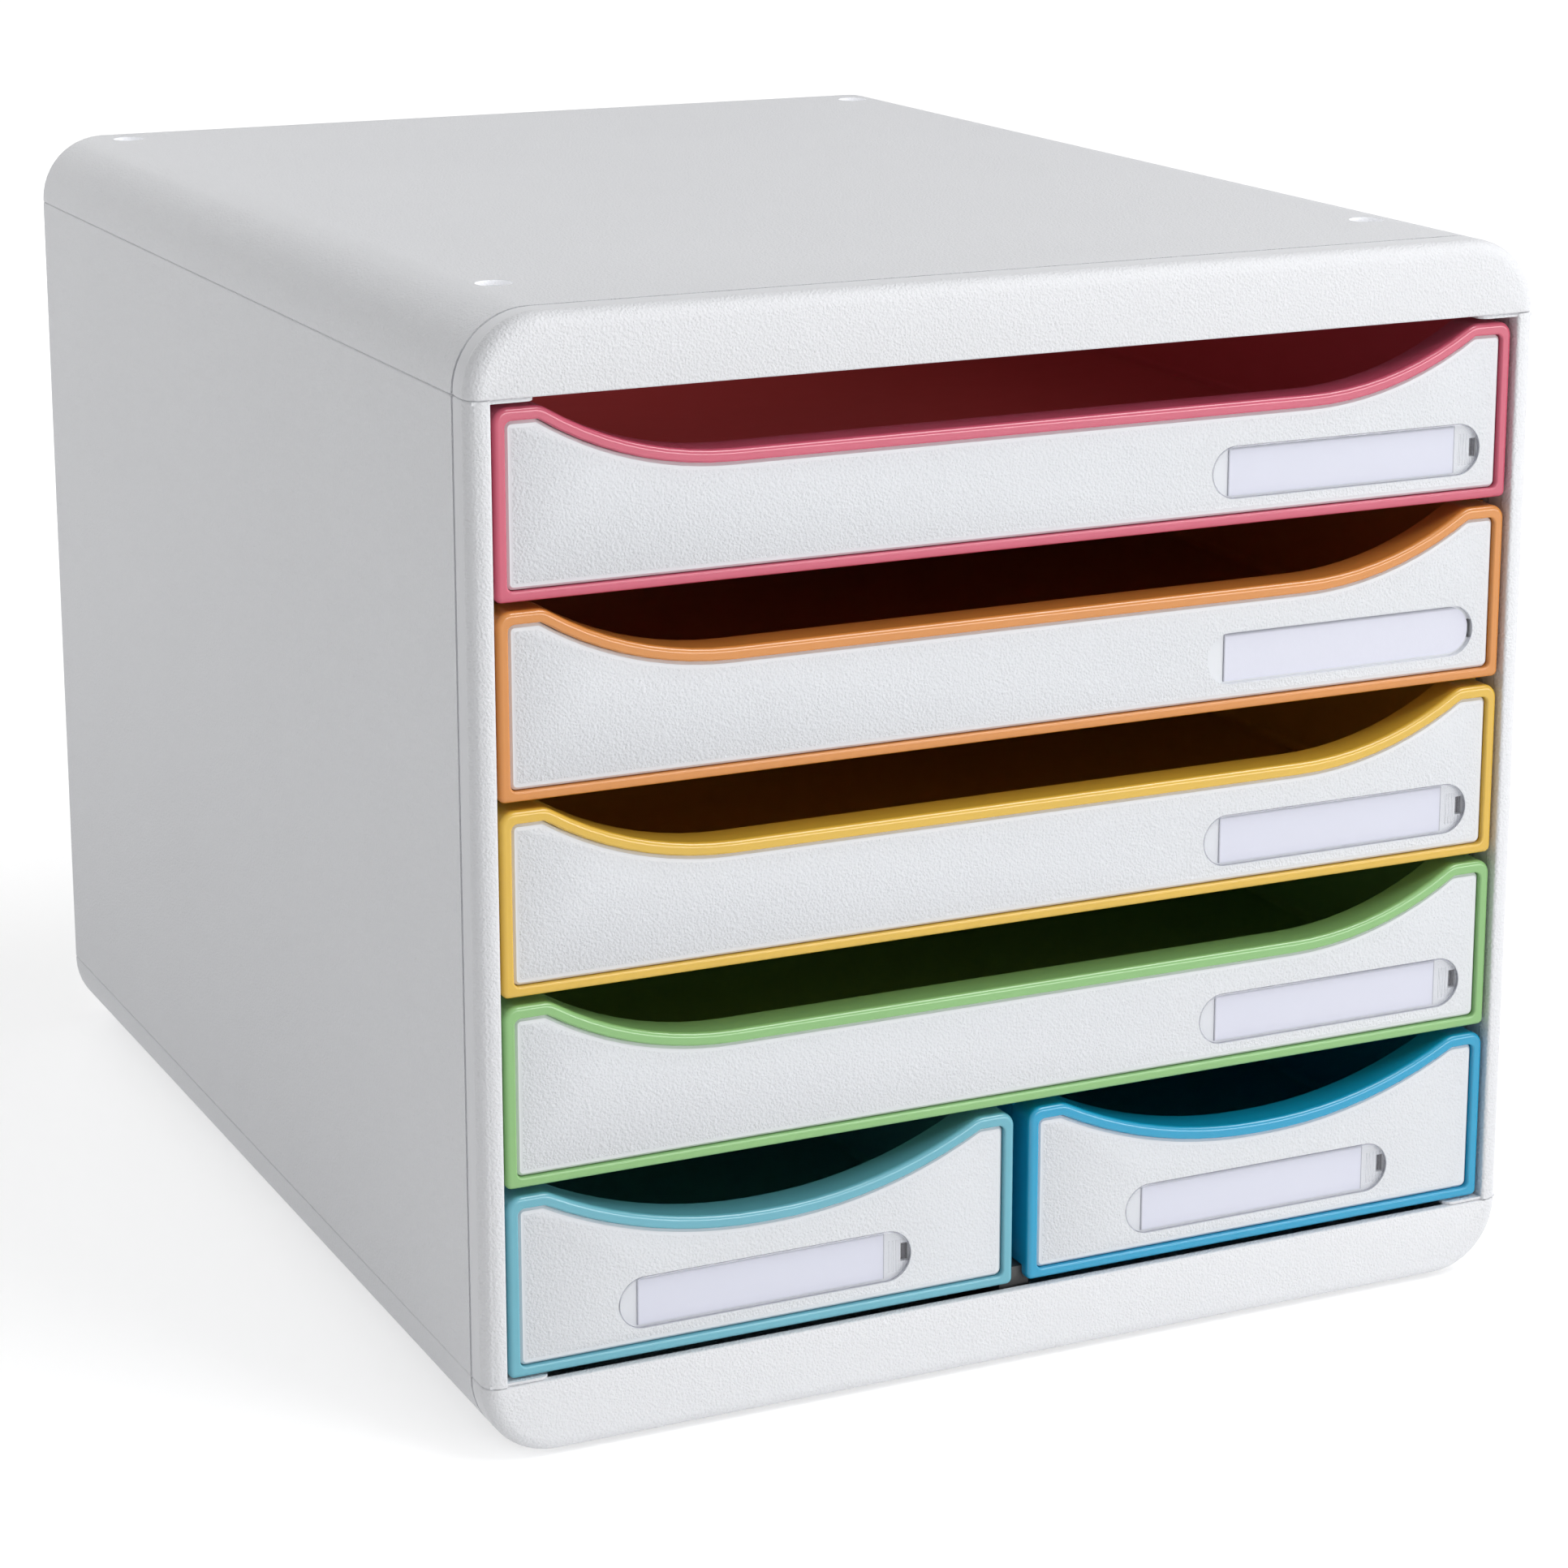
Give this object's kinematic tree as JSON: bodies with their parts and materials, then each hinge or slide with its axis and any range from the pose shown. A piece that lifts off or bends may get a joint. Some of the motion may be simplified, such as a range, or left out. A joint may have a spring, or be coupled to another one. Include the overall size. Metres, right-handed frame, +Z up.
{
  "type": "plastic drawer tower",
  "caption": "White desk-top drawer cabinet: shallow full-width drawers over a row of half-width ones, coloured trays, grained front plates and label windows.",
  "frame": {"origin": "centre of the overall box in plan, at the level of the rubber feet's undersides", "axes": "+Z up, -Y towards the front that the drawers open to, +X to the right seen from the front"},
  "size_m": [0.278, 0.347, 0.2682],
  "materials": {
    "casing_white": "fine leather-like grain",
    "plate_white": "fine leather-like grain",
    "pink_plastic": "smooth gloss",
    "orange_plastic": "smooth gloss",
    "yellow_plastic": "smooth gloss",
    "green_plastic": "smooth gloss",
    "teal_plastic": "smooth gloss",
    "blue_plastic": "smooth gloss",
    "label_card": "paper card",
    "label_clear": "clear smooth plastic",
    "rail_grey": "smooth satin",
    "foot_rubber": "matte"
  },
  "bodies": {
    "casing": {"top_cover": "casing_white", "base": "casing_white", "left_side_panel": "casing_white", "right_side_panel": "casing_white", "back_panel": "casing_white", "centre_rail": "rail_grey", "rubber_feet": "foot_rubber"},
    "pink_drawer": {"pink_tray": "pink_plastic", "pink_front_plate": "plate_white", "pink_label_card": "label_card", "pink_label_cover": "label_clear"},
    "orange_drawer": {"orange_tray": "orange_plastic", "orange_front_plate": "plate_white", "orange_label_card": "label_card"},
    "yellow_drawer": {"yellow_tray": "yellow_plastic", "yellow_front_plate": "plate_white", "yellow_label_card": "label_card", "yellow_label_cover": "label_clear"},
    "green_drawer": {"green_tray": "green_plastic", "green_front_plate": "plate_white", "green_label_card": "label_card", "green_label_cover": "label_clear"},
    "teal_drawer": {"teal_tray": "teal_plastic", "teal_front_plate": "plate_white", "teal_label_card": "label_card", "teal_label_cover": "label_clear"},
    "blue_drawer": {"blue_tray": "blue_plastic", "blue_front_plate": "plate_white", "blue_label_card": "label_card", "blue_label_cover": "label_clear"}
  },
  "joints": [
    {"name": "pink_drawer_slide", "type": "slide", "parent": "casing", "child": "pink_drawer", "axis": [0, -1, 0], "range_m": [0, 0.25]},
    {"name": "orange_drawer_slide", "type": "slide", "parent": "casing", "child": "orange_drawer", "axis": [0, -1, 0], "range_m": [0, 0.25]},
    {"name": "yellow_drawer_slide", "type": "slide", "parent": "casing", "child": "yellow_drawer", "axis": [0, -1, 0], "range_m": [0, 0.25]},
    {"name": "green_drawer_slide", "type": "slide", "parent": "casing", "child": "green_drawer", "axis": [0, -1, 0], "range_m": [0, 0.25]},
    {"name": "teal_drawer_slide", "type": "slide", "parent": "casing", "child": "teal_drawer", "axis": [0, -1, 0], "range_m": [0, 0.25]},
    {"name": "blue_drawer_slide", "type": "slide", "parent": "casing", "child": "blue_drawer", "axis": [0, -1, 0], "range_m": [0, 0.25]}
  ]
}
